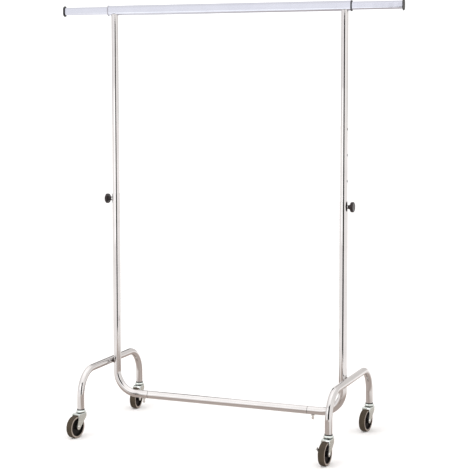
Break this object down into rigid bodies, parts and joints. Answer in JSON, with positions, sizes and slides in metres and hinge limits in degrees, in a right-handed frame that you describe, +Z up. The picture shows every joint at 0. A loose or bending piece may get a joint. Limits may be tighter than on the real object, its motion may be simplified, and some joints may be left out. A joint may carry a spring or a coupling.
{
  "type": "rolling clothes rack",
  "caption": "Rolling clothes rack of bent steel tube with a telescoping height, a flat-oval hanging rail, pull-out end rails and swivel casters.",
  "frame": {"origin": "on the floor, midway between the two uprights", "axes": "+X to the right along the hanging rail, +Y to the rear, +Z up"},
  "size_m": [1.318, 0.5744, 1.571],
  "materials": {
    "chrome_tube": "polished",
    "chrome_rail": "bright, slightly satin",
    "weld_bead": "rough dark bead",
    "zinc_sheet": "bright zinc",
    "zinc_screw": "bright zinc",
    "black_plastic": "satin moulded",
    "grey_plastic": "satin moulded",
    "knob_plastic": "semi-gloss moulded",
    "hub_plastic": "satin moulded",
    "tyre_rubber": "smooth moulded rubber"
  },
  "bodies": {
    "base": {"cross_tube": "chrome_tube", "lower_tube_left": "chrome_tube", "leg_left": "chrome_tube", "leg_weld_left": "weld_bead", "lower_tube_right": "chrome_tube", "leg_right": "chrome_tube", "leg_weld_right": "weld_bead", "leg_plug_lf": "black_plastic", "caster_stem_lf": "zinc_sheet", "swivel_cup_lf": "zinc_sheet", "leg_plug_rf": "black_plastic", "caster_stem_rf": "zinc_sheet", "swivel_cup_rf": "zinc_sheet", "leg_plug_lr": "black_plastic", "caster_stem_lr": "zinc_sheet", "swivel_cup_lr": "zinc_sheet", "leg_plug_rr": "black_plastic", "caster_stem_rr": "zinc_sheet", "swivel_cup_rr": "zinc_sheet"},
    "upper_frame": {"main_rail": "chrome_rail", "upper_tube_left": "chrome_tube", "guide_foot_left": "black_plastic", "rail_bush_left": "grey_plastic", "upper_tube_right": "chrome_tube", "guide_foot_right": "black_plastic", "rail_bush_right": "black_plastic"},
    "rail_end_left": {"end_rail_left": "chrome_rail", "rail_guide_left": "black_plastic", "end_cap_left": "black_plastic"},
    "clamp_knob_left": {"knob_left": "knob_plastic", "knob_screw_left": "zinc_screw"},
    "tube_thumb_left": {"thumb_screw_left": "zinc_screw"},
    "rail_end_right": {"end_rail_right": "chrome_rail", "rail_guide_right": "black_plastic", "end_cap_right": "black_plastic"},
    "clamp_knob_right": {"knob_right": "knob_plastic", "knob_screw_right": "zinc_screw"},
    "tube_thumb_right": {"thumb_screw_right": "zinc_screw"},
    "caster_lf": {"fork_lf": "zinc_sheet", "axle_bolt_lf": "zinc_screw", "axle_nut_lf": "zinc_screw"},
    "wheel_lf": {"tyre_lf": "tyre_rubber", "hub_lf": "hub_plastic"},
    "caster_rf": {"fork_rf": "zinc_sheet", "axle_bolt_rf": "zinc_screw", "axle_nut_rf": "zinc_screw"},
    "wheel_rf": {"tyre_rf": "tyre_rubber", "hub_rf": "hub_plastic"},
    "brake": {"brake_lever_rf": "zinc_sheet"},
    "caster_lr": {"fork_lr": "zinc_sheet", "axle_bolt_lr": "zinc_screw", "axle_nut_lr": "zinc_screw"},
    "wheel_lr": {"tyre_lr": "tyre_rubber", "hub_lr": "hub_plastic"},
    "caster_rr": {"fork_rr": "zinc_sheet", "axle_bolt_rr": "zinc_screw", "axle_nut_rr": "zinc_screw"},
    "wheel_rr": {"tyre_rr": "tyre_rubber", "hub_rr": "hub_plastic"}
  },
  "joints": [
    {"name": "height_slide", "type": "slide", "parent": "base", "child": "upper_frame", "axis": [0, 0, 1], "range_m": [-0.273, 0.182]},
    {"name": "end_rail_slide_left", "type": "slide", "parent": "upper_frame", "child": "rail_end_left", "axis": [-1, 0, 0], "range_m": [-0.181, 0.15]},
    {"name": "knob_turn_left", "type": "hinge", "parent": "base", "child": "clamp_knob_left", "pos_m": [-0.447, 0, 0.85], "axis": [-1, 0, 0], "range_deg": [0, 540]},
    {"name": "thumb_screw_turn_left", "type": "hinge", "parent": "base", "child": "tube_thumb_left", "pos_m": [-0.336, 0, 0.113], "axis": [0, 0, -1], "range_deg": [0, 450]},
    {"name": "end_rail_slide_right", "type": "slide", "parent": "upper_frame", "child": "rail_end_right", "axis": [1, 0, 0], "range_m": [-0.181, 0.15]},
    {"name": "knob_turn_right", "type": "hinge", "parent": "base", "child": "clamp_knob_right", "pos_m": [0.447, 0, 0.85], "axis": [1, 0, 0], "range_deg": [0, 540]},
    {"name": "thumb_screw_turn_right", "type": "hinge", "parent": "base", "child": "tube_thumb_right", "pos_m": [0.336, 0, 0.113], "axis": [0, 0, -1], "range_deg": [0, 450]},
    {"name": "swivel_lf", "type": "hinge", "parent": "base", "child": "caster_lf", "pos_m": [-0.474, -0.242, 0.087], "axis": [0, 0, 1], "continuous": true},
    {"name": "wheel_spin_lf", "type": "hinge", "parent": "caster_lf", "child": "wheel_lf", "pos_m": [-0.47956, -0.27351, 0.04], "axis": [0.9848, -0.1736, 0], "continuous": true},
    {"name": "swivel_rf", "type": "hinge", "parent": "base", "child": "caster_rf", "pos_m": [0.474, -0.242, 0.087], "axis": [0, 0, 1], "continuous": true},
    {"name": "wheel_spin_rf", "type": "hinge", "parent": "caster_rf", "child": "wheel_rf", "pos_m": [0.47232, -0.27396, 0.04], "axis": [0.9986, -0.0523, 0], "continuous": true},
    {"name": "brake_press_rf", "type": "hinge", "parent": "caster_rf", "child": "brake", "pos_m": [0.47232, -0.27396, 0.04], "axis": [0.9986, -0.0523, 0], "range_deg": [0, 30]},
    {"name": "swivel_lr", "type": "hinge", "parent": "base", "child": "caster_lr", "pos_m": [-0.474, 0.242, 0.087], "axis": [0, 0, 1], "continuous": true},
    {"name": "wheel_spin_lr", "type": "hinge", "parent": "caster_lr", "child": "wheel_lr", "pos_m": [-0.47232, 0.21004, 0.04], "axis": [0.9986, 0.0523, 0], "continuous": true},
    {"name": "swivel_rr", "type": "hinge", "parent": "base", "child": "caster_rr", "pos_m": [0.474, 0.242, 0.087], "axis": [0, 0, 1], "continuous": true},
    {"name": "wheel_spin_rr", "type": "hinge", "parent": "caster_rr", "child": "wheel_rr", "pos_m": [0.47038, 0.21021, 0.04], "axis": [0.9936, -0.1132, 0], "continuous": true}
  ]
}
